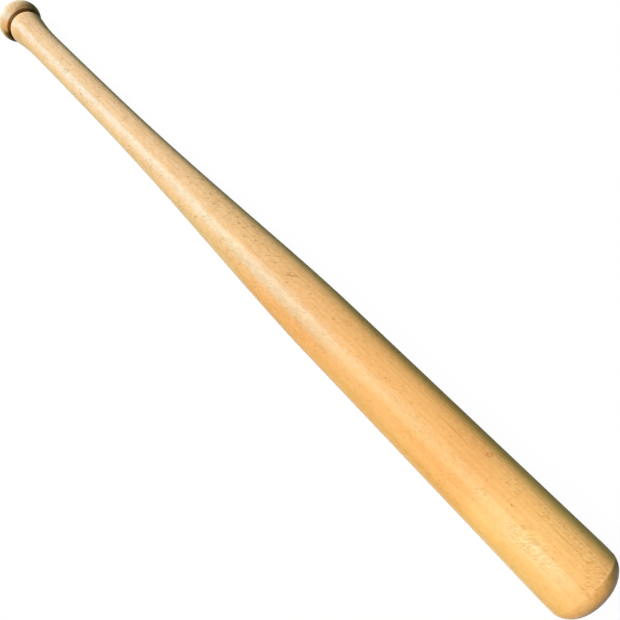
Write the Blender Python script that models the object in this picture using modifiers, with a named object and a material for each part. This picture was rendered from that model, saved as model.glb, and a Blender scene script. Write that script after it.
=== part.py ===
"""Wooden baseball bat, turned from one solid billet.

Metres, +Z up. The bat lies level along +X, with the origin in the middle of the knob's flat end.
The whole outline is one turned profile: flat end, knob, groove, flare, grip, taper, barrel, rounded end.
"""

import math

import bpy

# Diameters, in order from the knob to the barrel end
KNOB_FLAT_DIAMETER = 0.0310
KNOB_DIAMETER = 0.0448
KNOB_SHOULDER_DIAMETER = 0.0384
GROOVE_DIAMETER = 0.0280
FLARE_DIAMETER = 0.0352
GRIP_DIAMETER = 0.0297
HANDLE_TOP_DIAMETER = 0.0313
SHOULDER_DIAMETER = 0.0554
BARREL_DIAMETER = 0.0612
EDGE_DIAMETER = 0.0606

# Lengths along the axis, each from the end of the one before
KNOB_END_ROUND = 0.0066
KNOB_FACE_LENGTH = 0.0072
KNOB_LIP_LENGTH = 0.0007
GROOVE_FLOOR = 0.0006
FLARE_ROUND = 0.0060
FLARE_LENGTH = 0.0329
HANDLE_LENGTH = 0.1070
TAPER_LENGTH = 0.3190
BARREL_LENGTH = 0.2562
EDGE_ROUND = 0.0106
END_DEPTH = 0.0152

# Slopes of the outline: how steeply the knob's face falls, the radius gained along the handle's top, and the turn
# inwards past the edge
KNOB_FACE_ANGLE = math.radians(30.0)
HANDLE_SLOPE = 0.010
END_ANGLE = math.radians(14.0)

# How far each curve holds its end tangents, as a share of its own length or radius
KNOB_HOLD_CREST = 0.30
KNOB_HOLD_SHOULDER = 0.60
FLARE_HOLD_CREST = 0.14
FLARE_HOLD_GRIP = 0.58
GRIP_HOLD = 0.33
TAPER_HOLD_HANDLE = 0.405
TAPER_HOLD_BARREL = 0.23
EDGE_HOLD = 0.45
END_HOLD_SIDE = 0.55
END_HOLD_FACE = 0.67

# Facets round the axis, and rows along each curve
TURN_STEPS = 64
ROUND_ROWS = 11
KNOB_FACE_ROWS = 6
KNOB_LIP_ROWS = 5
FLARE_ROWS = 9
HANDLE_ROWS = 4
TAPER_ROWS = 13
EDGE_ROWS = 3
END_ROWS = 14
SHARP_ANGLE = math.radians(13.5)

# Where each feature starts, measured along the axis from the flat end
KNOB_CREST = KNOB_END_ROUND
KNOB_SHOULDER = KNOB_CREST + KNOB_FACE_LENGTH
GROOVE_START = KNOB_SHOULDER + KNOB_LIP_LENGTH
GROOVE_STOP = GROOVE_START + GROOVE_FLOOR
FLARE_CREST = GROOVE_STOP + FLARE_ROUND
GRIP_START = FLARE_CREST + FLARE_LENGTH
HANDLE_TOP = GRIP_START + HANDLE_LENGTH
SHOULDER = HANDLE_TOP + TAPER_LENGTH
BARREL_TOP = SHOULDER + BARREL_LENGTH
EDGE = BARREL_TOP + EDGE_ROUND
OVERALL_LENGTH = EDGE + END_DEPTH


def quarter(crest, foot):
    """Quarter of an ellipse from its crest, where it runs level, to its foot, where it falls straight in."""
    rows = []
    for row in range(ROUND_ROWS + 1):
        turn = math.pi / 2 * row / ROUND_ROWS
        along = crest[0] + (foot[0] - crest[0]) * math.sin(turn)
        radius = foot[1] + (crest[1] - foot[1]) * math.cos(turn)
        rows.append((along, radius))
    return rows


def curve(start, start_pull, stop_pull, stop, count):
    """Cubic curve from start to stop, with its two pulls as offsets from those ends."""
    corners = (
        start,
        (start[0] + start_pull[0], start[1] + start_pull[1]),
        (stop[0] + stop_pull[0], stop[1] + stop_pull[1]),
        stop,
    )
    rows = []
    for row in range(count + 1):
        share = row / count
        rest = 1 - share
        weights = (rest ** 3, 3 * rest ** 2 * share, 3 * rest * share ** 2, share ** 3)
        along = sum(weight * corner[0] for weight, corner in zip(weights, corners))
        radius = sum(weight * corner[1] for weight, corner in zip(weights, corners))
        rows.append((along, radius))
    return rows


def down_face(length):
    """Offset that runs this far down the slope of the knob's face, towards the groove."""
    return (length * math.cos(KNOB_FACE_ANGLE), -length * math.sin(KNOB_FACE_ANGLE))


def up_face(length):
    """Offset that runs this far up the slope of the knob's face, away from the groove."""
    return (-length * math.cos(KNOB_FACE_ANGLE), length * math.sin(KNOB_FACE_ANGLE))


def knob_rows():
    """Flat end, rounding up to the widest ring, face, round lip, then the groove's steep wall."""
    flat_edge = (0.0, KNOB_FLAT_DIAMETER / 2)
    crest = (KNOB_CREST, KNOB_DIAMETER / 2)
    shoulder = (KNOB_SHOULDER, KNOB_SHOULDER_DIAMETER / 2)
    # The lip is an arc that turns from the face's slope to straight in. A cubic holds an arc by this share.
    lip_radius = KNOB_LIP_LENGTH / (1 - math.sin(KNOB_FACE_ANGLE))
    lip_hold = lip_radius * 4 / 3 * math.tan((math.pi / 2 - KNOB_FACE_ANGLE) / 4)
    wall_top = (GROOVE_START, shoulder[1] - lip_radius * math.cos(KNOB_FACE_ANGLE))
    wall_foot = (GROOVE_START, GROOVE_DIAMETER / 2)
    crest_pull = (KNOB_FACE_LENGTH * KNOB_HOLD_CREST, 0.0)
    shoulder_pull = up_face(KNOB_FACE_LENGTH * KNOB_HOLD_SHOULDER)
    face = curve(crest, crest_pull, shoulder_pull, shoulder, KNOB_FACE_ROWS)
    lip = curve(shoulder, down_face(lip_hold), (0.0, lip_hold), wall_top, KNOB_LIP_ROWS)
    return [(0.0, 0.0)] + quarter(crest, flat_edge)[::-1] + face + lip + [wall_foot]


def flare_rows():
    """Rolled lip that rises from the groove, then the sweep down to the grip."""
    groove = (GROOVE_STOP, GROOVE_DIAMETER / 2)
    crest = (FLARE_CREST, FLARE_DIAMETER / 2)
    grip = (GRIP_START, GRIP_DIAMETER / 2)
    crest_pull = (FLARE_LENGTH * FLARE_HOLD_CREST, 0.0)
    grip_pull = (-FLARE_LENGTH * FLARE_HOLD_GRIP, 0.0)
    return quarter(crest, groove)[::-1] + curve(crest, crest_pull, grip_pull, grip, FLARE_ROWS)


def handle_rows():
    """Nearly straight grip that thickens a little towards the taper."""
    grip = (GRIP_START, GRIP_DIAMETER / 2)
    top = (HANDLE_TOP, HANDLE_TOP_DIAMETER / 2)
    hold = HANDLE_LENGTH * GRIP_HOLD
    return curve(grip, (hold, 0.0), (-hold, -hold * HANDLE_SLOPE), top, HANDLE_ROWS)


def barrel_slope():
    """Radius that the barrel gains for each metre of its length."""
    return (BARREL_DIAMETER - SHOULDER_DIAMETER) / 2 / BARREL_LENGTH


def taper_rows():
    """Long curve that swells from the handle into the barrel."""
    top = (HANDLE_TOP, HANDLE_TOP_DIAMETER / 2)
    shoulder = (SHOULDER, SHOULDER_DIAMETER / 2)
    handle_hold = TAPER_LENGTH * TAPER_HOLD_HANDLE
    barrel_hold = TAPER_LENGTH * TAPER_HOLD_BARREL
    handle_pull = (handle_hold, handle_hold * HANDLE_SLOPE)
    barrel_pull = (-barrel_hold, -barrel_hold * barrel_slope())
    return curve(top, handle_pull, barrel_pull, shoulder, TAPER_ROWS)


def barrel_end_rows():
    """Soft shoulder at the barrel's widest ring, a faint edge, then the rounded end."""
    barrel_top = (BARREL_TOP, BARREL_DIAMETER / 2)
    edge = (EDGE, EDGE_DIAMETER / 2)
    tip = (OVERALL_LENGTH, 0.0)
    hold = EDGE_ROUND * EDGE_HOLD
    side_pull = (hold, hold * barrel_slope())
    fall = (BARREL_DIAMETER - EDGE_DIAMETER) / 2
    edge_pull = (-hold, fall * EDGE_HOLD)
    end_hold = END_DEPTH * END_HOLD_SIDE
    end_pull = (end_hold * math.cos(END_ANGLE), -end_hold * math.sin(END_ANGLE))
    face_pull = (0.0, edge[1] * END_HOLD_FACE)
    shoulder_rows = curve(barrel_top, side_pull, edge_pull, edge, EDGE_ROWS)
    return shoulder_rows + curve(edge, end_pull, face_pull, tip, END_ROWS)


def bat_outline():
    """All rows from the flat end to the tip, with each shared point kept once."""
    outline = []
    for point in knob_rows() + flare_rows() + handle_rows() + taper_rows() + barrel_end_rows():
        if not outline or math.dist(point, outline[-1]) > 1e-7:
            outline.append(point)
    return outline


def lacquered_wood():
    """Pale honey wood under a satin lacquer."""
    material = bpy.data.materials.new("lacquered_wood")
    material.use_nodes = True
    shader = material.node_tree.nodes["Principled BSDF"]
    shader.inputs["Base Color"].default_value = (0.80, 0.53, 0.24, 1.0)
    shader.inputs["Roughness"].default_value = 0.38
    shader.inputs["Metallic"].default_value = 0.0
    return material


def turned_solid(name, outline, collection):
    """Closed solid of revolution from (distance along the axis, radius) rows."""
    mesh = bpy.data.meshes.new(name + "_profile")
    # The profile stands at +X and runs down its outer side, from the tip to the flat end.
    points = [(radius, 0.0, along) for along, radius in reversed(outline)]
    mesh.from_pydata(points, [(row, row + 1) for row in range(len(points) - 1)], [])
    solid = bpy.data.objects.new(name, mesh)
    collection.objects.link(solid)
    turn = solid.modifiers.new("turn", "SCREW")
    turn.axis = "Z"
    turn.angle = 2 * math.pi
    turn.steps = TURN_STEPS
    turn.render_steps = TURN_STEPS
    turn.use_merge_vertices = True
    turn.merge_threshold = 0.00001
    bpy.context.view_layer.update()
    evaluated = solid.evaluated_get(bpy.context.evaluated_depsgraph_get())
    turned_mesh = bpy.data.meshes.new_from_object(evaluated)
    turned_mesh.name = name
    turned_mesh.shade_smooth()
    turned_mesh.set_sharp_from_angle(angle=SHARP_ANGLE)
    solid.modifiers.clear()
    solid.data = turned_mesh
    bpy.data.meshes.remove(mesh)
    return solid


def main():
    for old in list(bpy.data.objects):
        bpy.data.objects.remove(old)
    collection = bpy.data.collections.new("wooden_baseball_bat")
    bpy.context.scene.collection.children.link(collection)
    billet = turned_solid("bat_billet", bat_outline(), collection)
    billet.data.materials.append(lacquered_wood())
    # The profile was turned about +Z, so the bat is laid down along +X.
    billet.rotation_euler = (0.0, math.pi / 2, 0.0)


main()
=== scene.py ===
"""Looks for the turned wooden bat: a fine turned surface in lacquered wood, a floor, lamps and a camera.

Metres, +Z up. The bat lies along +X, with the origin in the middle of the knob's flat end. Left and right are
as seen from above with the barrel's end nearest, so left is -Y and right is +Y.
"""

import math
from collections import namedtuple

import bpy
from mathutils import Matrix, Vector

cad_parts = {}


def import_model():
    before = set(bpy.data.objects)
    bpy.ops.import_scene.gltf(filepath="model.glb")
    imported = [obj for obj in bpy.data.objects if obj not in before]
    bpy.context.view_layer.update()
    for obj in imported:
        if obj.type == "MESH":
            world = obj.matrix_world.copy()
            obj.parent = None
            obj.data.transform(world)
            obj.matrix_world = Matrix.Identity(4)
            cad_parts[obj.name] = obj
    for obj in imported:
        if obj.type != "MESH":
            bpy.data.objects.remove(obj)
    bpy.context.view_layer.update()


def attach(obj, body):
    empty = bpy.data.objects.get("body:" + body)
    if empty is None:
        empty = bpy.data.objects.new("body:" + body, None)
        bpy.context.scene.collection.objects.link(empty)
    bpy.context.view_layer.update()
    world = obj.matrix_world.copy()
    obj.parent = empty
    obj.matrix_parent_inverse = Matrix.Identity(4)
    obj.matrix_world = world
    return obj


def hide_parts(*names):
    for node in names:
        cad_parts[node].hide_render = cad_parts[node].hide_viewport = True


# Smooth step from low, at start and before it, to high, at stop and past it. Start may be larger than stop.
Fade = namedtuple("Fade", "start stop low high", defaults=(0.0, 1.0))
# Noise whose grains are about pitch metres long in x, y and z
Noise = namedtuple("Noise", "pitch detail roughness offset", defaults=(2.0, 0.5, (0.0, 0.0, 0.0)))
# Oval on the bat, seen from above: its middle, size, turn in degrees and strength
Spot = namedtuple("Spot", "x y length width turn strength", defaults=(0.0, 1.0))
# Sockets that the wood's layers go by: the point itself, its distance along the bat, its side, 1 on the upper
# side, its place in the wandering grain, and its place turned to lie across the grain
Places = namedtuple("Places", "point along side upper grain crossed")

# The bat's outline, with the same sizes as the CAD. Diameters first, from the knob to the barrel's end
KNOB_FLAT_DIAMETER = 0.0310
KNOB_DIAMETER = 0.0448
KNOB_SHOULDER_DIAMETER = 0.0384
GROOVE_DIAMETER = 0.0280
FLARE_DIAMETER = 0.0352
GRIP_DIAMETER = 0.0297
HANDLE_TOP_DIAMETER = 0.0313
SHOULDER_DIAMETER = 0.0554
BARREL_DIAMETER = 0.0612
EDGE_DIAMETER = 0.0606

# Lengths along the axis, each from the end of the one before
KNOB_END_ROUND = 0.0066
KNOB_FACE_LENGTH = 0.0072
KNOB_LIP_LENGTH = 0.0007
GROOVE_FLOOR = 0.0006
FLARE_ROUND = 0.0060
FLARE_LENGTH = 0.0329
HANDLE_LENGTH = 0.1070
TAPER_LENGTH = 0.3190
BARREL_LENGTH = 0.2562
EDGE_ROUND = 0.0106
END_DEPTH = 0.0152

# Slopes of the outline: how steeply the knob's face falls, the radius gained along the handle's top and along
# the barrel, and the turn inwards past the edge
KNOB_FACE_ANGLE = math.radians(30.0)
HANDLE_SLOPE = 0.010
BARREL_SLOPE = (BARREL_DIAMETER - SHOULDER_DIAMETER) / 2 / BARREL_LENGTH
END_ANGLE = math.radians(14.0)

# How far each curve holds its end tangents, as a share of its own length or radius
KNOB_HOLD_CREST = 0.30
KNOB_HOLD_SHOULDER = 0.60
FLARE_HOLD_CREST = 0.14
FLARE_HOLD_GRIP = 0.58
GRIP_HOLD = 0.33
TAPER_HOLD_HANDLE = 0.405
TAPER_HOLD_BARREL = 0.23
EDGE_HOLD = 0.45
END_HOLD_SIDE = 0.55
END_HOLD_FACE = 0.67

# Where each feature starts, measured along the axis from the flat end
KNOB_CREST = KNOB_END_ROUND
KNOB_SHOULDER = KNOB_CREST + KNOB_FACE_LENGTH
GROOVE_START = KNOB_SHOULDER + KNOB_LIP_LENGTH
GROOVE_STOP = GROOVE_START + GROOVE_FLOOR
FLARE_CREST = GROOVE_STOP + FLARE_ROUND
GRIP_START = FLARE_CREST + FLARE_LENGTH
HANDLE_TOP = GRIP_START + HANDLE_LENGTH
SHOULDER = HANDLE_TOP + TAPER_LENGTH
BARREL_TOP = SHOULDER + BARREL_LENGTH
EDGE = BARREL_TOP + EDGE_ROUND
OVERALL_LENGTH = EDGE + END_DEPTH

# Facets of the fine surface: round the axis, and rows along each stretch
TURN_STEPS = 256
ROUND_ROWS = 16
KNOB_FACE_ROWS = 14
KNOB_LIP_ROWS = 10
KNOB_WALL_ROWS = 4
FLARE_ROWS = 24
HANDLE_ROWS = 40
TAPER_ROWS = 110
BARREL_ROWS = 80
EDGE_ROWS = 8
END_ROWS = 36

# Rows nearer to each other than this are one row, and edges that turn by more than the angle stay sharp.
SAME_POINT = 1e-7
SHARP_ANGLE = math.radians(12.0)

# Camera: over the bat, aimed back towards the middle, with the bat on the picture's diagonal
CAMERA_PLACE = Vector((0.6147, 0.00038, 0.5106))
CAMERA_TARGET = Vector((0.4584, 0.00038, 0.0))
CAMERA_LENS = 36.58
CAMERA_SENSOR = 36.0
CAMERA_NEAR = 0.01
CAMERA_FAR = 100.0
BAT_ANGLE = math.radians(44.955)
BAT_DIRECTION = (1.0, 0.0, 0.0)

# Lamps: turn round the bat from straight above, and lean towards the knob, in degrees
LAMP_TARGET = (0.40, 0.0, 0.0)
KEY_TURN = -12.0
KEY_LEAN = 20.0
KEY_DISTANCE = 2.3
KEY_SIZE = (0.9, 0.6)
KEY_POWER = 44.5
FILL_TURN = -27.0
FILL_LEAN = 27.0
FILL_DISTANCE = 2.6
FILL_SIZE = (1.4, 0.35)
FILL_POWER = 40.0
SIDE_TURN = 75.0
SIDE_LEAN = -20.0
SIDE_DISTANCE = 2.6
SIDE_SIZE = (1.4, 0.6)
SIDE_POWER = 3.0

# World and floor
WORLD_LIGHT = 0.07
WHITE = (1.0, 1.0, 1.0, 1.0)
FLOOR_PAINT = (0.022, 0.024, 0.020, 1.0)
FLOOR_GLOW = 0.975
FLOOR_REACH = 6.0
FLOOR_GAP = 0.0002

# A mix node has one set of sockets for each kind of data. These are the places of its sockets for colours.
MIX_SHARE = 0
MIX_FIRST = 6
MIX_SECOND = 7
MIX_RESULT = 2

# Factors that keep what lies across the bat's axis, and what is seen from above
ACROSS = (0.0, 1.0, 1.0)
FROM_ABOVE = (1.0, 1.0, 0.0)

# Middle value of any noise
NOISE_MIDDLE = 0.5

# Colours of the wood along the bat, linear, each with its distance from the knob's flat end
WOOD_STOPS = (
    (0.007, (0.740, 0.580, 0.370)),
    (0.011, (0.860, 0.610, 0.325)),
    (0.014, (0.850, 0.570, 0.280)),
    (0.022, (0.780, 0.550, 0.310)),
    (0.060, (0.752, 0.530, 0.302)),
    (0.092, (0.764, 0.560, 0.328)),
    (0.113, (0.766, 0.554, 0.322)),
    (0.132, (0.748, 0.532, 0.304)),
    (0.197, (0.775, 0.552, 0.314)),
    (0.270, (0.776, 0.538, 0.290)),
    (0.343, (0.765, 0.520, 0.260)),
    (0.396, (0.780, 0.505, 0.233)),
    (0.500, (0.840, 0.494, 0.191)),
    (0.602, (0.862, 0.486, 0.164)),
    (0.637, (0.872, 0.486, 0.164)),
    (0.670, (0.920, 0.551, 0.193)),
    (0.699, (0.905, 0.563, 0.203)),
    (0.723, (0.912, 0.555, 0.201)),
    (0.750, (0.898, 0.520, 0.183)),
)

# The blotches shift that colour along the bat, by up to half of this either way, but not at the knob.
COLOUR_SHIFT = Fade(0.03, 0.10, 0.0, 0.04)

# A point's side is its Y over its distance from the axis: -1 at the bat's left and 1 at its right. Over both
# ends the distance is at least a fixed radius, so that the side changes evenly across them.
LEAST_REACH = 0.001
FLAT_REACH = Fade(KNOB_CREST, 0.0, LEAST_REACH, KNOB_FLAT_DIAMETER / 2)
END_REACH = Fade(EDGE - 0.002, EDGE + 0.002, LEAST_REACH, EDGE_DIAMETER / 2)

# Marks lie on the upper side only, and they fade in over this height above the axis.
UPPER_SIDE = Fade(0.0, 0.006)

# Grain: it wanders a few millimetres, and the middle of the tree lies to one side of the bat.
WANDER = Noise((1 / 3, 1 / 14, 1 / 14), 2.0, 0.45)
WANDER_REACH = (0.0, 0.006, 0.006)
PITH = (0.0, 0.055, -0.085)
PITH_LEAN = (0.0, math.radians(1.3), math.radians(-0.8))

# Growth rings: a slow rise to the dark late wood, then a quick drop
RING_PITCH = 0.0034
RING_NOISE = Noise((0.4, 0.012, 0.012), 1.0)
RING_UNEVENNESS = 0.9
RING_RISE = Fade(0.35, 0.93)
RING_DROP = Fade(0.93, 1.0, 1.0, 0.0)
RING_SHARE = 0.30

# Fibres run along the grain.
FIBRE = Noise((0.060, 0.0011, 0.0011), 2.0, 0.55)
FIBRE_FADE = Fade(0.40, 0.72)
FIBRE_SHARE = 0.20
FINE_FIBRE = Noise((0.014, 0.0005, 0.0005), 1.0, 0.5, (3.1, 0.0, 7.7))
FINE_FIBRE_FADE = Fade(0.45, 0.75)
FINE_FIBRE_SHARE = 0.18

# Pores are short pits along the grain, thicker in patches.
PORE = Noise((0.0045, 0.0009, 0.0009), 1.0, 0.5, (1.7, 5.3, 2.9))
PORE_FADE = Fade(0.60, 0.72)
PORE_PATCH = Noise((0.050, 0.014, 0.014), 2.0, 0.5, (8.0, 3.0, 1.0))
PORE_PATCH_FADE = Fade(0.36, 0.62, 0.25, 1.0)
PORE_SHARE = 0.42

# Clouded figure, from wide blotches through mottle to fine grit. The last two are calmer on the barrel.
BLOTCH = Noise((0.050, 0.018, 0.018), 3.0, 0.55, (2.2, 6.1, 4.9))
BLOTCH_FADE = Fade(0.42, 0.68)
BLOTCH_SHARE = 0.30
MOTTLE = Noise((0.0065, 0.0042, 0.0042), 3.0, 0.6, (5.5, 1.2, 3.8))
MOTTLE_SHARE = 0.34
GRIT = Noise((0.0030, 0.0022, 0.0022), 2.0, 0.6, (9.5, 4.2, 0.8))
GRIT_SHARE = 0.28
CLOUD_PALE = Fade(0.50, 0.66)
CLOUD_DARK = Fade(0.50, 0.34)
BARREL_CALM = Fade(0.42, 0.54, 1.0, 0.55)

# Dashes and scuffs cross the grain at this angle.
CROSS_ANGLE = math.radians(-42.0)

# Short dark dashes stand in loose clusters, thickest on the taper's right half and thinnest on the barrel.
DASH = Noise((0.0060, 0.0012, 0.0060), 1.0, 0.5, (0.4, 7.1, 3.3))
DASH_FADE = Fade(0.58, 0.68)
DASH_PATCH = Noise((0.018, 0.009, 0.009), 2.0, 0.5, (1.1, 8.3, 5.7))
DASH_PATCH_FADE = Fade(0.52, 0.66)
DASH_TAPER_START = Fade(0.27, 0.32)
DASH_TAPER_STOP = Fade(0.42, 0.48, 1.0, 0.0)
DASH_RIGHT = Fade(-0.05, 0.30, 0.0, 0.12)
DASH_BARREL = Fade(0.42, 0.54, 0.0, -0.09)
DASH_SHARE = 0.62

# Fine scuffs, pale and dark side by side, crowd in a few places.
SCUFF = Noise((0.0032, 0.0010, 0.0032), 1.0, 0.5, (7.9, 2.6, 1.3))
SCUFF_PALE = Fade(0.52, 0.64)
SCUFF_DARK = Fade(0.48, 0.36)
SCUFF_PATCH = Noise((0.016, 0.008, 0.008), 2.0, 0.5, (2.7, 9.1, 4.6))
SCUFF_STRAY = Fade(0.58, 0.70, 0.0, 0.7)
SCUFF_RAGGEDNESS = 2.0
SCUFF_FIELD_EDGE = Fade(1.15, 0.6)
SCUFF_SHARE = 0.62
SCUFF_FIELDS = (
    Spot(0.6660, 0.0150, 0.020, 0.014),
    Spot(0.7000, 0.0172, 0.022, 0.014),
    Spot(0.7260, 0.0160, 0.022, 0.014),
    Spot(0.7020, -0.0070, 0.048, 0.014),
    Spot(0.7440, 0.0090, 0.014, 0.030),
)

# Single marks: two long dark lines along the barrel, five short dents, and three scratches near the barrel's
# end
MARK_EDGE = Fade(1.0, 0.35)
MARKS = (
    Spot(0.6080, 0.0129, 0.0430, 0.0007, 0.5, 0.55),
    Spot(0.7124, 0.0124, 0.0260, 0.0007, 2.0, 0.55),
    Spot(0.6117, 0.0077, 0.0016, 0.0011, 30.0, 0.60),
    Spot(0.6507, 0.0037, 0.0016, 0.0011, -40.0, 0.60),
    Spot(0.6563, -0.0046, 0.0018, 0.0011, 30.0, 0.60),
    Spot(0.6529, -0.0132, 0.0018, 0.0012, 35.0, 0.60),
    Spot(0.6736, 0.0036, 0.0040, 0.0008, -42.0, 0.60),
    Spot(0.7335, 0.0128, 0.0080, 0.0006, 42.0, 0.45),
    Spot(0.7365, 0.0095, 0.0070, 0.0006, 44.0, 0.45),
    Spot(0.7395, 0.0150, 0.0060, 0.0006, 40.0, 0.45),
)

# Small knot with a ragged rim
KNOT = Spot(0.6402, 0.0183, 0.0046, 0.0034, 35.0)
KNOT_NOISE = Noise((0.0016, 0.0016, 0.0016), 2.0, 0.6, (4.4, 0.9, 7.3))
KNOT_RAGGEDNESS = 1.4
KNOT_MIDDLE = Fade(0.95, 0.55)
KNOT_RIM_INSIDE = Fade(0.55, 0.85)
KNOT_RIM_OUTSIDE = Fade(1.25, 0.95)
KNOT_RIM_SHARE = 0.45

# Painted highlight: a cream band beside the top that stands for the lamps' sheen. It wanes along the taper,
# bends to the right and back on the barrel, gains strength there and stops near the end.
STREAK_BEND_START = Fade(0.50, 0.57, 0.0, 0.14)
STREAK_BEND_STOP = Fade(0.70, 0.63)
STREAK_LEFT = Fade(-0.58, -0.36)
STREAK_RIGHT = Fade(-0.22, 0.02, 1.0, 0.0)
STREAK_WANE = Fade(0.40, 0.56, 1.0, 0.65)
STREAK_GAIN = Fade(0.66, 0.71, 0.0, 0.30)
STREAK_STOP = Fade(0.747, 0.722, 0.25, 1.0)

# Painted shade beside the top, half way along, which dims the lamps' highlight there
DIM_START = Fade(0.37, 0.42)
DIM_STOP = Fade(0.53, 0.48)
DIM_LEFT = Fade(-0.70, -0.40)
DIM_RIGHT = Fade(0.20, -0.05)

# Painted light and shade round the bat: gold painted shade at the left, orange painted shade on the taper's
# left, and painted light at the right that turns to dark painted shade towards its edge. On the handle that
# dark starts a little further out.
LEFT_SIDE = Fade(-0.55, -0.86)
ORANGE_START = Fade(0.37, 0.42)
ORANGE_STOP = Fade(0.53, 0.46)
ORANGE_SIDE = Fade(-0.35, -0.72)
RIGHT_SIDE = Fade(0.15, 0.65)
EDGE_SIDE = Fade(0.62, 0.97)
EDGE_SHIFT = Fade(0.30, 0.60, 0.06, 0.0)

# Painted shade round the groove: darker in the groove itself, dark on the knob's right, painted orange light
# on its left, a nearly black painted shadow in the corner at its left edge, and warm in a patch on the flare.
GROOVE_WALL = Fade(KNOB_SHOULDER, GROOVE_START)
GROOVE_FLARE = Fade(FLARE_CREST - 0.0024, GROOVE_STOP + 0.0004)
KNOB_SIDE = Fade(GROOVE_STOP + 0.001, GROOVE_START)
KNOB_SHADE_REACH = Fade(-0.1, 0.8, 0.0, 0.0034)
KNOB_SHADE_START = Fade(KNOB_SHOULDER - 0.0012, KNOB_SHOULDER + 0.0010)
KNOB_SHADE_SIDE = Fade(-0.10, 0.45)
KNOB_SHADE_SHARE = 0.85
KNOB_LIGHT_START = Fade(KNOB_CREST + 0.001, KNOB_SHOULDER)
KNOB_LIGHT_SIDE = Fade(-0.15, -0.55)
CORNER_START = Fade(KNOB_CREST + 0.002, KNOB_SHOULDER - 0.001)
CORNER_SIDE = Fade(-0.84, -0.95)
FLARE_PATCH = Spot(0.0300, -0.0105, 0.018, 0.010)
FLARE_PATCH_EDGE = Fade(1.0, 0.3)

# A painted highlight, a pale line, runs along the crease where the side turns into the end, and the end has a
# colour of its own, with painted shade over its right side.
CREASE_WIDTH = Fade(0.0009, 0.0003)
CREASE_SIDE = Fade(-0.10, 0.35)
CREASE_SHARE = 0.80
END_START = Fade(EDGE, EDGE + 0.002)
END_SIDE = Fade(0.15, 0.75)

# Tints that the layers multiply into the wood
# Painted shade: gold at the left edge
LEFT_SHADE_TINT = (0.92, 0.91, 0.72)
# Painted shade: orange on the taper's left
ORANGE_SHADE_TINT = (1.00, 0.88, 0.76)
# Painted light on the right
RIGHT_LIGHT_TINT = (1.04, 1.02, 0.95)
# Painted shade at the right edge
EDGE_SHADE_TINT = (0.45, 0.60, 0.42)
# Painted highlight beside the top
HIGHLIGHT_STREAK_TINT = (0.98, 1.16, 1.48)
# Painted shade that dims the highlight half way along
DIM_SHADE_TINT = (0.92, 0.93, 0.96)
PALE_TINT = (1.04, 1.12, 1.30)
LATE_TINT = (0.86, 0.80, 0.70)
PORE_TINT = (0.58, 0.47, 0.38)
DASH_TINT = (0.50, 0.42, 0.34)
SCUFF_TINT = (0.80, 0.72, 0.60)
KNOT_TINT = (1.00, 0.86, 0.66)
# Painted shade in the groove
GROOVE_SHADE_TINT = (0.72, 0.69, 0.62)
# Painted shade on the knob's right
KNOB_SHADE_TINT = (0.58, 0.52, 0.46)
# Painted orange light on the knob's left
KNOB_LIGHT_TINT = (1.06, 0.88, 0.74)
# Painted shadow in the corner behind the knob
CORNER_SHADOW_TINT = (0.20, 0.16, 0.10)
FLARE_TINT = (0.97, 0.87, 0.74)
END_TINT = (1.04, 0.96, 0.82)
# Painted shade over the end's right side
END_SHADE_TINT = (0.42, 0.48, 0.36)

# Lacquer: satin, duller where hands rub it, over the pores, at the right edge, on the end and in the groove
IOR = 1.48
SPECULAR_LEVEL = 0.115
DIFFUSE_ROUGHNESS = 0.4
SATIN_ROUGHNESS = 0.29
LACQUER_PATCH = Noise((0.012, 0.006, 0.006), 2.0, 0.5, (5.5, 1.2, 3.8))
LACQUER_UNEVENNESS = 0.22
WORN_GRIP = Fade(0.06, 0.22, 0.06, 0.0)
PORE_ROUGHNESS = 0.10
DULL_SIDE = Fade(0.65, 0.92)
DULL_END = Fade(EDGE + 0.006, OVERALL_LENGTH)
DULL_ROUGHNESS = 0.30

# Relief: the lacquer lies in small waves and follows the wood below. Each part is a share of the full height.
RELIEF_HEIGHT = 0.00030
WAVE = Noise((0.0042, 0.0030, 0.0030), 2.0, 0.55, (6.0, 2.0, 9.0))
WAVE_RELIEF = 0.8
FIBRE_RELIEF = 0.12
PORE_RELIEF = -0.15
DASH_RELIEF = -0.15
SCUFF_RELIEF = -0.08


def quarter(crest, foot):
    """Quarter of an ellipse from its crest, where it runs level, to its foot, where it falls straight in."""
    rows = []
    for row in range(ROUND_ROWS + 1):
        turn = math.pi / 2 * row / ROUND_ROWS
        along = crest[0] + (foot[0] - crest[0]) * math.sin(turn)
        radius = foot[1] + (crest[1] - foot[1]) * math.cos(turn)
        rows.append((along, radius))
    return rows


def curve(start, start_pull, stop_pull, stop, count):
    """Cubic curve from start to stop, with its two pulls as offsets from those ends."""
    corners = (
        start,
        (start[0] + start_pull[0], start[1] + start_pull[1]),
        (stop[0] + stop_pull[0], stop[1] + stop_pull[1]),
        stop,
    )
    rows = []
    for row in range(count + 1):
        share = row / count
        rest = 1 - share
        weights = (rest ** 3, 3 * rest ** 2 * share, 3 * rest * share ** 2, share ** 3)
        along = sum(weight * corner[0] for weight, corner in zip(weights, corners))
        radius = sum(weight * corner[1] for weight, corner in zip(weights, corners))
        rows.append((along, radius))
    return rows


def line(start, stop, count):
    """Straight run from start to stop."""
    third = ((stop[0] - start[0]) / 3, (stop[1] - start[1]) / 3)
    return curve(start, third, (-third[0], -third[1]), stop, count)


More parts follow.
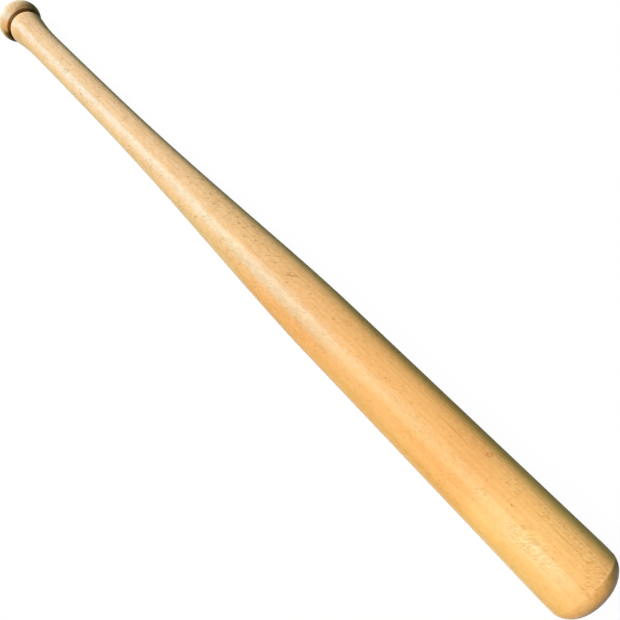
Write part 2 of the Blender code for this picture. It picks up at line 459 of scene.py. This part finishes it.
def knob_rows():
    """Edge of the flat end, rounding up to the widest ring, face, round lip, and the groove's steep wall."""
    flat_edge = (0.0, KNOB_FLAT_DIAMETER / 2)
    crest = (KNOB_CREST, KNOB_DIAMETER / 2)
    shoulder = (KNOB_SHOULDER, KNOB_SHOULDER_DIAMETER / 2)
    slope = (math.cos(KNOB_FACE_ANGLE), -math.sin(KNOB_FACE_ANGLE))
    # The lip is an arc that turns from the face's slope to straight in. A cubic holds an arc by this share.
    lip_radius = KNOB_LIP_LENGTH / (1 - math.sin(KNOB_FACE_ANGLE))
    lip_hold = lip_radius * 4 / 3 * math.tan((math.pi / 2 - KNOB_FACE_ANGLE) / 4)
    face_hold = KNOB_FACE_LENGTH * KNOB_HOLD_SHOULDER
    wall_top = (GROOVE_START, shoulder[1] - lip_radius * math.cos(KNOB_FACE_ANGLE))
    wall_foot = (GROOVE_START, GROOVE_DIAMETER / 2)
    crest_pull = (KNOB_FACE_LENGTH * KNOB_HOLD_CREST, 0.0)
    shoulder_pull = (-face_hold * slope[0], -face_hold * slope[1])
    lip_pull = (lip_hold * slope[0], lip_hold * slope[1])
    face = curve(crest, crest_pull, shoulder_pull, shoulder, KNOB_FACE_ROWS)
    lip = curve(shoulder, lip_pull, (0.0, lip_hold), wall_top, KNOB_LIP_ROWS)
    return quarter(crest, flat_edge)[::-1] + face + lip + line(wall_top, wall_foot, KNOB_WALL_ROWS)


def flare_rows():
    """Rolled lip that rises from the groove, then the sweep down to the grip."""
    groove = (GROOVE_STOP, GROOVE_DIAMETER / 2)
    crest = (FLARE_CREST, FLARE_DIAMETER / 2)
    grip = (GRIP_START, GRIP_DIAMETER / 2)
    crest_pull = (FLARE_LENGTH * FLARE_HOLD_CREST, 0.0)
    grip_pull = (-FLARE_LENGTH * FLARE_HOLD_GRIP, 0.0)
    return quarter(crest, groove)[::-1] + curve(crest, crest_pull, grip_pull, grip, FLARE_ROWS)


def handle_rows():
    """Nearly straight grip that thickens a little towards the taper."""
    grip = (GRIP_START, GRIP_DIAMETER / 2)
    top = (HANDLE_TOP, HANDLE_TOP_DIAMETER / 2)
    hold = HANDLE_LENGTH * GRIP_HOLD
    return curve(grip, (hold, 0.0), (-hold, -hold * HANDLE_SLOPE), top, HANDLE_ROWS)


def taper_rows():
    """Long curve that swells from the handle into the barrel."""
    top = (HANDLE_TOP, HANDLE_TOP_DIAMETER / 2)
    shoulder = (SHOULDER, SHOULDER_DIAMETER / 2)
    handle_hold = TAPER_LENGTH * TAPER_HOLD_HANDLE
    barrel_hold = TAPER_LENGTH * TAPER_HOLD_BARREL
    handle_pull = (handle_hold, handle_hold * HANDLE_SLOPE)
    barrel_pull = (-barrel_hold, -barrel_hold * BARREL_SLOPE)
    return curve(top, handle_pull, barrel_pull, shoulder, TAPER_ROWS)


def barrel_rows():
    """Straight barrel, its soft shoulder at the widest ring, a faint edge, then the rounded end."""
    shoulder = (SHOULDER, SHOULDER_DIAMETER / 2)
    barrel_top = (BARREL_TOP, BARREL_DIAMETER / 2)
    edge = (EDGE, EDGE_DIAMETER / 2)
    tip = (OVERALL_LENGTH, 0.0)
    hold = EDGE_ROUND * EDGE_HOLD
    side_pull = (hold, hold * BARREL_SLOPE)
    edge_pull = (-hold, (BARREL_DIAMETER - EDGE_DIAMETER) / 2 * EDGE_HOLD)
    end_hold = END_DEPTH * END_HOLD_SIDE
    end_pull = (end_hold * math.cos(END_ANGLE), -end_hold * math.sin(END_ANGLE))
    face_pull = (0.0, edge[1] * END_HOLD_FACE)
    straight = line(shoulder, barrel_top, BARREL_ROWS)
    shoulder_round = curve(barrel_top, side_pull, edge_pull, edge, EDGE_ROWS)
    return straight + shoulder_round + curve(edge, end_pull, face_pull, tip, END_ROWS)


def bat_outline():
    """All rows from the edge of the flat end to the tip, with each shared point kept once."""
    outline = []
    for point in knob_rows() + flare_rows() + handle_rows() + taper_rows() + barrel_rows():
        if not outline or math.dist(point, outline[-1]) > SAME_POINT:
            outline.append(point)
    return outline


def turned_mesh(name, outline):
    """Closed surface of revolution about the X axis: a flat disc, rings of quads, and a fan at the tip."""
    rings = outline[:-1]
    points = []
    for along, radius in rings:
        for step in range(TURN_STEPS):
            turn = 2 * math.pi * step / TURN_STEPS
            points.append((along, radius * math.cos(turn), radius * math.sin(turn)))
    points.append((outline[-1][0], 0.0, 0.0))
    faces = [tuple(reversed(range(TURN_STEPS)))]
    for ring in range(len(rings) - 1):
        low = ring * TURN_STEPS
        for step in range(TURN_STEPS):
            after = (step + 1) % TURN_STEPS
            faces.append((low + step, low + after, low + TURN_STEPS + after, low + TURN_STEPS + step))
    last = (len(rings) - 1) * TURN_STEPS
    for step in range(TURN_STEPS):
        faces.append((last + step, last + (step + 1) % TURN_STEPS, len(points) - 1))
    mesh = bpy.data.meshes.new(name)
    mesh.from_pydata(points, [], faces)
    mesh.update()
    mesh.shade_smooth()
    mesh.set_sharp_from_angle(angle=SHARP_ANGLE)
    return mesh


class Graph:
    """Short way to add nodes to a material or a world and to join them."""

    def __init__(self, owner):
        owner.use_nodes = True
        self.tree = owner.node_tree
        self.tree.nodes.clear()

    def add(self, kind, inputs=None, **settings):
        """New node, with its inputs given by name as values or as sockets to link."""
        node = self.tree.nodes.new(kind)
        for name, value in settings.items():
            setattr(node, name, value)
        for name, value in (inputs or {}).items():
            self.feed(node.inputs[name], value)
        return node

    def feed(self, socket, value):
        if isinstance(value, bpy.types.NodeSocket):
            self.tree.links.new(value, socket)
        else:
            socket.default_value = value

    def math(self, operation, *values):
        node = self.add("ShaderNodeMath", operation=operation)
        for socket, value in zip(node.inputs, values):
            self.feed(socket, value)
        return node.outputs[0]

    def chain(self, operation, values):
        """Values joined two by two by one operation."""
        made = values[0]
        for value in values[1:]:
            made = self.math(operation, made, value)
        return made

    def product(self, *values):
        return self.chain("MULTIPLY", values)

    def total(self, *values):
        return self.chain("ADD", values)

    def highest(self, *values):
        return self.chain("MAXIMUM", values)

    def vector(self, operation, *values):
        node = self.add("ShaderNodeVectorMath", operation=operation)
        for socket, value in zip(node.inputs, values):
            self.feed(socket, value)
        return node.outputs["Value" if operation == "LENGTH" else "Vector"]

    def noise(self, place, recipe, output="Fac"):
        """Noise at a place, as one value or as a colour."""
        scale = tuple(1 / length for length in recipe.pitch)
        shaped = self.add("ShaderNodeMapping", {"Vector": place, "Scale": scale, "Location": recipe.offset})
        inputs = {
            "Vector": shaped.outputs[0],
            "Scale": 1.0,
            "Detail": recipe.detail,
            "Roughness": recipe.roughness,
        }
        return self.add("ShaderNodeTexNoise", inputs).outputs[output]

    def swing(self, noise, reach):
        """Noise moved about zero, with reach from its lowest to its highest."""
        return self.product(self.math("SUBTRACT", noise, NOISE_MIDDLE), reach)

    def fade(self, value, span):
        """Smooth step of a value over a span."""
        inputs = {
            "Value": value,
            "From Min": span.start,
            "From Max": span.stop,
            "To Min": span.low,
            "To Max": span.high,
        }
        return self.add("ShaderNodeMapRange", inputs, interpolation_type="SMOOTHSTEP").outputs["Result"]

    def spot(self, place, spot):
        """Distance from the middle of a spot seen from above, 1 at its edge."""
        inputs = {
            "Vector": self.vector("MULTIPLY", place, FROM_ABOVE),
            "Location": (spot.x, spot.y, 0.0),
            "Rotation": (0.0, 0.0, math.radians(spot.turn)),
            "Scale": (spot.length / 2, spot.width / 2, 1.0),
        }
        moved = self.add("ShaderNodeMapping", inputs, vector_type="TEXTURE")
        return self.vector("LENGTH", moved.outputs[0])

    def layer(self, tone, tint, *shares):
        """Tone with a tint multiplied in, as strongly as the product of the shares."""
        made = self.add("ShaderNodeMix", data_type="RGBA", blend_type="MULTIPLY", clamp_factor=True)
        self.feed(made.inputs[MIX_SHARE], self.product(*shares))
        self.feed(made.inputs[MIX_FIRST], tone)
        self.feed(made.inputs[MIX_SECOND], (*tint, 1.0))
        return made.outputs[MIX_RESULT]


def find_places(graph):
    """All that the layers of the wood go by, for each point of the bat."""
    point = graph.add("ShaderNodeTexCoord").outputs["Object"]
    axes = graph.add("ShaderNodeSeparateXYZ", {"Vector": point}).outputs
    along = axes["X"]
    from_axis = graph.vector("LENGTH", graph.vector("MULTIPLY", point, ACROSS))
    reach = graph.highest(from_axis, graph.fade(along, FLAT_REACH), graph.fade(along, END_REACH))
    side = graph.math("DIVIDE", axes["Y"], reach)
    upper = graph.fade(axes["Z"], UPPER_SIDE)
    wander = graph.vector("SUBTRACT", graph.noise(point, WANDER, "Color"), (NOISE_MIDDLE,) * 3)
    grain = graph.vector("ADD", point, graph.vector("MULTIPLY", wander, WANDER_REACH))
    inputs = {"Vector": point, "Angle": CROSS_ANGLE}
    crossed = graph.add("ShaderNodeVectorRotate", inputs, rotation_type="Z_AXIS").outputs[0]
    return Places(point, along, side, upper, grain, crossed)


def growth_rings(graph, at):
    """1 in the dark late wood of each ring round the tree's middle."""
    inputs = {"Vector": at.grain, "Rotation": PITH_LEAN}
    leaning = graph.add("ShaderNodeVectorRotate", inputs, rotation_type="EULER_XYZ").outputs[0]
    from_pith = graph.vector("MULTIPLY", graph.vector("SUBTRACT", leaning, PITH), ACROSS)
    rings = graph.math("DIVIDE", graph.vector("LENGTH", from_pith), RING_PITCH)
    uneven = graph.product(graph.noise(at.point, RING_NOISE), RING_UNEVENNESS)
    phase = graph.math("FRACT", graph.total(rings, uneven))
    return graph.product(graph.fade(phase, RING_RISE), graph.fade(phase, RING_DROP))


def pores(graph, at):
    """1 in a pore where they are thickest."""
    pits = graph.fade(graph.noise(at.grain, PORE), PORE_FADE)
    patches = graph.fade(graph.noise(at.point, PORE_PATCH), PORE_PATCH_FADE)
    return graph.product(pits, patches)


def dashes(graph, at):
    """1 in a dash within a cluster."""
    on_taper = graph.product(graph.fade(at.along, DASH_TAPER_START), graph.fade(at.along, DASH_TAPER_STOP))
    crowd = graph.total(
        graph.product(on_taper, graph.fade(at.side, DASH_RIGHT)),
        graph.noise(at.point, DASH_PATCH),
        graph.fade(at.along, DASH_BARREL),
    )
    strokes = graph.fade(graph.noise(at.crossed, DASH), DASH_FADE)
    return graph.product(strokes, graph.fade(crowd, DASH_PATCH_FADE))


def scuffs(graph, at):
    """Shares of the pale and of the dark scuffs."""
    patches = graph.noise(at.point, SCUFF_PATCH)
    crowd = graph.fade(patches, SCUFF_STRAY)
    for field in SCUFF_FIELDS:
        reach = graph.total(graph.swing(patches, SCUFF_RAGGEDNESS), graph.spot(at.point, field))
        crowd = graph.highest(crowd, graph.product(graph.fade(reach, SCUFF_FIELD_EDGE), at.upper))
    share = graph.product(crowd, SCUFF_SHARE)
    scratches = graph.noise(at.crossed, SCUFF)
    pale = graph.product(graph.fade(scratches, SCUFF_PALE), share)
    dark = graph.product(graph.fade(scratches, SCUFF_DARK), share)
    return pale, dark


def groove_share(graph, at):
    """1 in the groove, fading out on the knob's lip and on the flare."""
    return graph.product(graph.fade(at.along, GROOVE_WALL), graph.fade(at.along, GROOVE_FLARE))


def corner_shadow_share(graph, at):
    """1 in the corner behind the knob, at the bat's left edge, where a shadow is painted."""
    return graph.product(
        graph.fade(at.along, CORNER_START),
        graph.fade(at.along, KNOB_SIDE),
        graph.fade(at.side, CORNER_SIDE),
    )


def plain_wood(graph, at, blotch):
    """The wood's own colour, from cream at the grip to honey at the barrel."""
    shifted = graph.total(at.along, graph.swing(blotch, graph.fade(at.along, COLOUR_SHIFT)))
    colours = graph.add("ShaderNodeValToRGB", {"Fac": graph.math("DIVIDE", shifted, OVERALL_LENGTH)})
    colours.color_ramp.interpolation = "LINEAR"
    stops = colours.color_ramp.elements
    # The node comes with a stop at each end, so only the others are new.
    for distance, colour in WOOD_STOPS[1:-1]:
        stops.new(distance / OVERALL_LENGTH)
    for stop, (distance, colour) in zip(stops, WOOD_STOPS):
        stop.position = distance / OVERALL_LENGTH
        stop.color = (*colour, 1.0)
    return colours.outputs["Color"]


def tint_across(graph, at, tone):
    """Painted light and shade across the bat's left, its top and its right, with a painted highlight beside
    the top.
    """
    bend = graph.product(graph.fade(at.along, STREAK_BEND_START), graph.fade(at.along, STREAK_BEND_STOP))
    beside = graph.math("SUBTRACT", at.side, bend)
    highlight_streak = graph.product(
        graph.fade(beside, STREAK_LEFT),
        graph.fade(beside, STREAK_RIGHT),
        graph.total(graph.fade(at.along, STREAK_WANE), graph.fade(at.along, STREAK_GAIN)),
        graph.fade(at.along, STREAK_STOP),
    )
    orange = graph.product(
        graph.fade(at.along, ORANGE_START),
        graph.fade(at.along, ORANGE_STOP),
        graph.fade(at.side, ORANGE_SIDE),
    )
    dimmed = graph.product(
        graph.fade(at.along, DIM_START),
        graph.fade(at.along, DIM_STOP),
        graph.fade(at.side, DIM_LEFT),
        graph.fade(at.side, DIM_RIGHT),
    )
    near_edge = graph.math("SUBTRACT", at.side, graph.fade(at.along, EDGE_SHIFT))
    tone = graph.layer(tone, LEFT_SHADE_TINT, graph.fade(at.side, LEFT_SIDE))
    tone = graph.layer(tone, ORANGE_SHADE_TINT, orange)
    tone = graph.layer(tone, HIGHLIGHT_STREAK_TINT, highlight_streak)
    tone = graph.layer(tone, DIM_SHADE_TINT, dimmed)
    tone = graph.layer(tone, RIGHT_LIGHT_TINT, graph.fade(at.side, RIGHT_SIDE))
    return graph.layer(tone, EDGE_SHADE_TINT, graph.fade(near_edge, EDGE_SIDE))


def tint_knob(graph, at, tone, groove, corner):
    """Painted shade in the groove and on the knob's right, painted light on its left, a painted shadow in the
    corner, and a warm patch on the flare.
    """
    knob_side = graph.fade(at.along, KNOB_SIDE)
    knob_shade = graph.product(
        graph.fade(graph.total(at.along, graph.fade(at.side, KNOB_SHADE_REACH)), KNOB_SHADE_START),
        graph.fade(at.side, KNOB_SHADE_SIDE),
        knob_side,
    )
    knob_light = graph.product(
        graph.fade(at.along, KNOB_LIGHT_START),
        graph.fade(at.side, KNOB_LIGHT_SIDE),
        knob_side,
    )
    patch = graph.fade(graph.spot(at.point, FLARE_PATCH), FLARE_PATCH_EDGE)
    tone = graph.layer(tone, GROOVE_SHADE_TINT, groove)
    tone = graph.layer(tone, KNOB_SHADE_TINT, knob_shade, KNOB_SHADE_SHARE)
    tone = graph.layer(tone, KNOB_LIGHT_TINT, knob_light)
    tone = graph.layer(tone, FLARE_TINT, patch, at.upper)
    return graph.layer(tone, CORNER_SHADOW_TINT, corner)


def tint_figure(graph, at, tone, blotch, fibre):
    """Blotches, rings, fibres, and the clouded figure under the lacquer."""
    calm = graph.fade(at.along, BARREL_CALM)
    fine_fibre = graph.noise(at.grain, FINE_FIBRE)
    tone = graph.layer(tone, PALE_TINT, graph.fade(blotch, BLOTCH_FADE), BLOTCH_SHARE)
    tone = graph.layer(tone, LATE_TINT, growth_rings(graph, at), RING_SHARE)
    tone = graph.layer(tone, LATE_TINT, graph.fade(fibre, FIBRE_FADE), FIBRE_SHARE)
    tone = graph.layer(tone, LATE_TINT, graph.fade(fine_fibre, FINE_FIBRE_FADE), FINE_FIBRE_SHARE)
    for recipe, share in ((MOTTLE, MOTTLE_SHARE), (GRIT, GRIT_SHARE)):
        cloud = graph.noise(at.point, recipe)
        tone = graph.layer(tone, PALE_TINT, graph.fade(cloud, CLOUD_PALE), calm, share)
        tone = graph.layer(tone, LATE_TINT, graph.fade(cloud, CLOUD_DARK), calm, share)
    return tone


def tint_marks(graph, at, tone):
    """Knot and single marks on the upper side."""
    ragged = graph.swing(graph.noise(at.point, KNOT_NOISE), KNOT_RAGGEDNESS)
    reach = graph.total(graph.spot(at.point, KNOT), ragged)
    knot_rim = graph.product(graph.fade(reach, KNOT_RIM_INSIDE), graph.fade(reach, KNOT_RIM_OUTSIDE))
    blemish = graph.product(knot_rim, at.upper, KNOT_RIM_SHARE)
    for mark in MARKS:
        stroke = graph.fade(graph.spot(at.point, mark), MARK_EDGE)
        blemish = graph.highest(blemish, graph.product(stroke, at.upper, mark.strength))
    tone = graph.layer(tone, KNOT_TINT, graph.fade(reach, KNOT_MIDDLE), at.upper)
    return graph.layer(tone, DASH_TINT, blemish)


def tint_end(graph, at, tone):
    """Painted highlight along the crease at the barrel's end, the rounded end itself, and painted shade over
    its right side.
    """
    off_crease = graph.math("ABSOLUTE", graph.math("SUBTRACT", at.along, EDGE))
    crease = graph.product(graph.fade(off_crease, CREASE_WIDTH), graph.fade(at.side, CREASE_SIDE))
    on_end = graph.fade(at.along, END_START)
    # Painted highlight: the pale line along the crease
    tone = graph.layer(tone, PALE_TINT, crease, CREASE_SHARE)
    tone = graph.layer(tone, END_TINT, on_end)
    return graph.layer(tone, END_SHADE_TINT, on_end, graph.fade(at.side, END_SIDE))


def lacquer_roughness(graph, at, pore, groove, corner):
    """Satin with its own unevenness, duller in a few places."""
    dull = graph.highest(graph.fade(at.side, DULL_SIDE), graph.fade(at.along, DULL_END), corner, groove)
    return graph.total(
        graph.swing(graph.noise(at.point, LACQUER_PATCH), LACQUER_UNEVENNESS),
        SATIN_ROUGHNESS,
        graph.fade(at.along, WORN_GRIP),
        graph.product(dull, DULL_ROUGHNESS),
        graph.product(pore, PORE_ROUGHNESS),
    )


def lacquer_relief(graph, at, fibre, pore, dash, scuff):
    """Small waves of the lacquer's own, with the wood below showing through."""
    height = graph.total(
        graph.product(graph.noise(at.point, WAVE), WAVE_RELIEF),
        graph.product(fibre, FIBRE_RELIEF),
        graph.product(pore, PORE_RELIEF),
        graph.product(dash, DASH_RELIEF),
        graph.product(scuff, SCUFF_RELIEF),
    )
    inputs = {"Height": height, "Strength": 1.0, "Distance": RELIEF_HEIGHT}
    return graph.add("ShaderNodeBump", inputs).outputs[0]


def wood():
    """Pale hardwood under a satin lacquer."""
    material = bpy.data.materials.new("lacquered_wood_grain")
    graph = Graph(material)
    at = find_places(graph)
    blotch = graph.noise(at.point, BLOTCH)
    fibre = graph.noise(at.grain, FIBRE)
    pore = pores(graph, at)
    dash = dashes(graph, at)
    pale_scuff, dark_scuff = scuffs(graph, at)
    groove = groove_share(graph, at)
    corner = corner_shadow_share(graph, at)

    tone = plain_wood(graph, at, blotch)
    tone = tint_across(graph, at, tone)
    tone = tint_knob(graph, at, tone, groove, corner)
    tone = tint_figure(graph, at, tone, blotch, fibre)
    tone = graph.layer(tone, PORE_TINT, pore, PORE_SHARE)
    tone = graph.layer(tone, DASH_TINT, dash, DASH_SHARE)
    tone = graph.layer(tone, PALE_TINT, pale_scuff)
    tone = graph.layer(tone, SCUFF_TINT, dark_scuff)
    tone = tint_marks(graph, at, tone)
    tone = tint_end(graph, at, tone)

    inputs = {
        "Base Color": tone,
        "Roughness": lacquer_roughness(graph, at, pore, groove, corner),
        "Normal": lacquer_relief(graph, at, fibre, pore, dash, dark_scuff),
        "IOR": IOR,
        "Specular IOR Level": SPECULAR_LEVEL,
        "Diffuse Roughness": DIFFUSE_ROUGHNESS,
    }
    shader = graph.add("ShaderNodeBsdfPrincipled", inputs)
    graph.add("ShaderNodeOutputMaterial", {"Surface": shader.outputs[0]})
    return material


def seen_directly(graph):
    """1 for what the camera sees, also in gloss and through glass, and 0 for the light on the bat."""
    path = graph.add("ShaderNodeLightPath").outputs
    return graph.highest(path["Is Camera Ray"], path["Is Glossy Ray"], path["Is Transmission Ray"])


def floor_material():
    """Pale floor that shows as white where it is lit, and that keeps the bat's shadow."""
    material = bpy.data.materials.new("studio_floor")
    graph = Graph(material)
    strength = graph.product(seen_directly(graph), FLOOR_GLOW)
    paint = graph.add("ShaderNodeBsdfDiffuse", {"Color": FLOOR_PAINT})
    glow = graph.add("ShaderNodeEmission", {"Color": WHITE, "Strength": strength})
    both = graph.add("ShaderNodeAddShader")
    graph.feed(both.inputs[0], paint.outputs[0])
    graph.feed(both.inputs[1], glow.outputs[0])
    graph.add("ShaderNodeOutputMaterial", {"Surface": both.outputs[0]})
    return material


def make_floor():
    """Flat floor on which the knob and the barrel both rest, so it leans along the bat by under a degree."""
    fall = (BARREL_DIAMETER - KNOB_DIAMETER) / 2
    lean = math.atan2(fall, BARREL_TOP - KNOB_CREST)
    corners = [(x * FLOOR_REACH, y * FLOOR_REACH, 0) for x, y in ((-1, -1), (1, -1), (1, 1), (-1, 1))]
    mesh = bpy.data.meshes.new("studio_floor")
    mesh.from_pydata(corners, [], [(0, 1, 2, 3)])
    mesh.materials.append(floor_material())
    floor = bpy.data.objects.new("studio_floor", mesh)
    bpy.context.scene.collection.objects.link(floor)
    floor.location = (BARREL_TOP, 0.0, -BARREL_DIAMETER / 2 - FLOOR_GAP)
    floor.rotation_euler = (0.0, lean, 0.0)


def aimed(place, target, along, right_turn=0.0):
    """Matrix of a thing at place that looks at target, with its right hand along, turned by right_turn."""
    back = (Vector(place) - Vector(target)).normalized()
    flat = Vector(along)
    flat = (flat - back * flat.dot(back)).normalized()
    side = back.cross(flat)
    right = flat * math.cos(right_turn) + side * math.sin(right_turn)
    up = side * math.cos(right_turn) - flat * math.sin(right_turn)
    turned = Matrix((right, up, back)).transposed()
    return Matrix.Translation(place) @ turned.to_4x4()


def make_lamp(name, turn, lean, distance, size, power):
    """Soft box aimed at the bat, turned round it and leaning by these degrees."""
    turn, lean = math.radians(turn), math.radians(lean)
    away = Vector((-math.sin(lean), math.cos(lean) * math.sin(turn), math.cos(lean) * math.cos(turn)))
    lamp = bpy.data.lights.new(name, "AREA")
    lamp.shape = "RECTANGLE"
    lamp.size, lamp.size_y = size
    lamp.energy = power
    box = bpy.data.objects.new(name, lamp)
    box.matrix_world = aimed(Vector(LAMP_TARGET) + away * distance, LAMP_TARGET, BAT_DIRECTION)
    bpy.context.scene.collection.objects.link(box)


def make_world():
    """Faint even light, behind a background that shows as white."""
    world = bpy.data.worlds.new("studio")
    bpy.context.scene.world = world
    graph = Graph(world)
    inputs = {"Value": seen_directly(graph), "To Min": WORLD_LIGHT, "To Max": 1.0}
    strength = graph.add("ShaderNodeMapRange", inputs).outputs["Result"]
    background = graph.add("ShaderNodeBackground", {"Color": WHITE, "Strength": strength})
    graph.add("ShaderNodeOutputWorld", {"Surface": background.outputs[0]})


def make_camera():
    """Camera over the barrel, looking down and back along the bat."""
    data = bpy.data.cameras.new("camera")
    data.lens = CAMERA_LENS
    data.sensor_width = CAMERA_SENSOR
    data.clip_start = CAMERA_NEAR
    data.clip_end = CAMERA_FAR
    camera = bpy.data.objects.new("camera", data)
    bpy.context.scene.collection.objects.link(camera)
    # The bat's own direction, as seen square to the line of sight, runs to the picture's lower right.
    camera.matrix_world = aimed(CAMERA_PLACE, CAMERA_TARGET, BAT_DIRECTION, BAT_ANGLE)
    bpy.context.scene.camera = camera


def make_bat():
    """The fine surface of the whole bat, which stands for the CAD solid."""
    bat = bpy.data.objects.new("turned_bat", turned_mesh("turned_bat", bat_outline()))
    bpy.context.scene.collection.objects.link(bat)
    bat.data.materials.append(wood())
    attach(bat, "root")
    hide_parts("bat_billet")


def main():
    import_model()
    bpy.context.scene.view_settings.view_transform = "Standard"

    make_bat()
    make_floor()
    make_world()
    make_lamp("key_lamp", KEY_TURN, KEY_LEAN, KEY_DISTANCE, KEY_SIZE, KEY_POWER)
    make_lamp("fill_lamp", FILL_TURN, FILL_LEAN, FILL_DISTANCE, FILL_SIZE, FILL_POWER)
    make_lamp("side_lamp", SIDE_TURN, SIDE_LEAN, SIDE_DISTANCE, SIDE_SIZE, SIDE_POWER)
    make_camera()


main()
